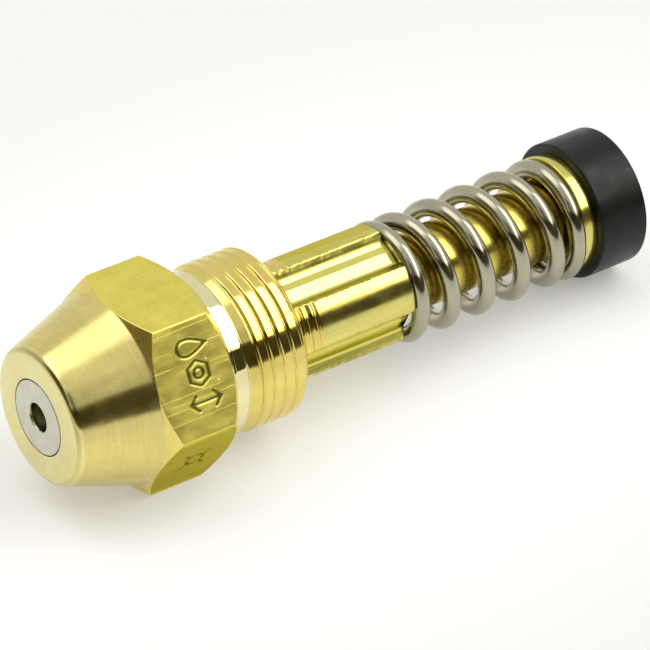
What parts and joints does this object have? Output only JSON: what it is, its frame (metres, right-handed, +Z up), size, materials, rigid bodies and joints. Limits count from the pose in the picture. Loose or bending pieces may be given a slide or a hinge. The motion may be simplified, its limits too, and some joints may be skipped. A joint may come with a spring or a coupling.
{
  "type": "return-flow oil burner nozzle",
  "caption": "Brass oil burner nozzle with a hexagon, a short male thread, a fluted locking screw and a sprung return tube with a black seal ring.",
  "frame": {"origin": "on the nozzle's axis, where the first thread crest begins behind the hexagon", "axes": "+Y along the axis, from the spraying nose towards the return seal; +Z up, square to a hexagon flat; a hexagon corner points along +X"},
  "size_m": [0.0184, 0.056, 0.016],
  "materials": {
    "body_brass": "turned and brushed, satin",
    "disc_steel": "lapped, matte",
    "inner_brass": "turned",
    "screw_brass": "turned, milled flutes",
    "spring_steel": "drawn stainless wire, polished",
    "tube_brass": "turned, smooth",
    "oring_rubber": "satin black",
    "seal_rubber": "satin black"
  },
  "bodies": {
    "nozzle": {"nozzle_body": "body_brass", "orifice_disc": "disc_steel", "swirl_disc": "disc_steel", "return_insert": "inner_brass", "locking_screw": "screw_brass", "spring": "spring_steel"},
    "return_slider": {"return_tube": "tube_brass", "tube_oring": "oring_rubber", "spring_collar": "tube_brass", "seal_ring": "seal_rubber"}
  },
  "joints": [
    {"name": "return_tube_slide", "type": "slide", "parent": "nozzle", "child": "return_slider", "axis": [0, -1, 0], "range_m": [0, 0.005], "stiffness_N_per_m": 13900, "springref_m": -0.0015, "deforming": ["spring"]}
  ]
}
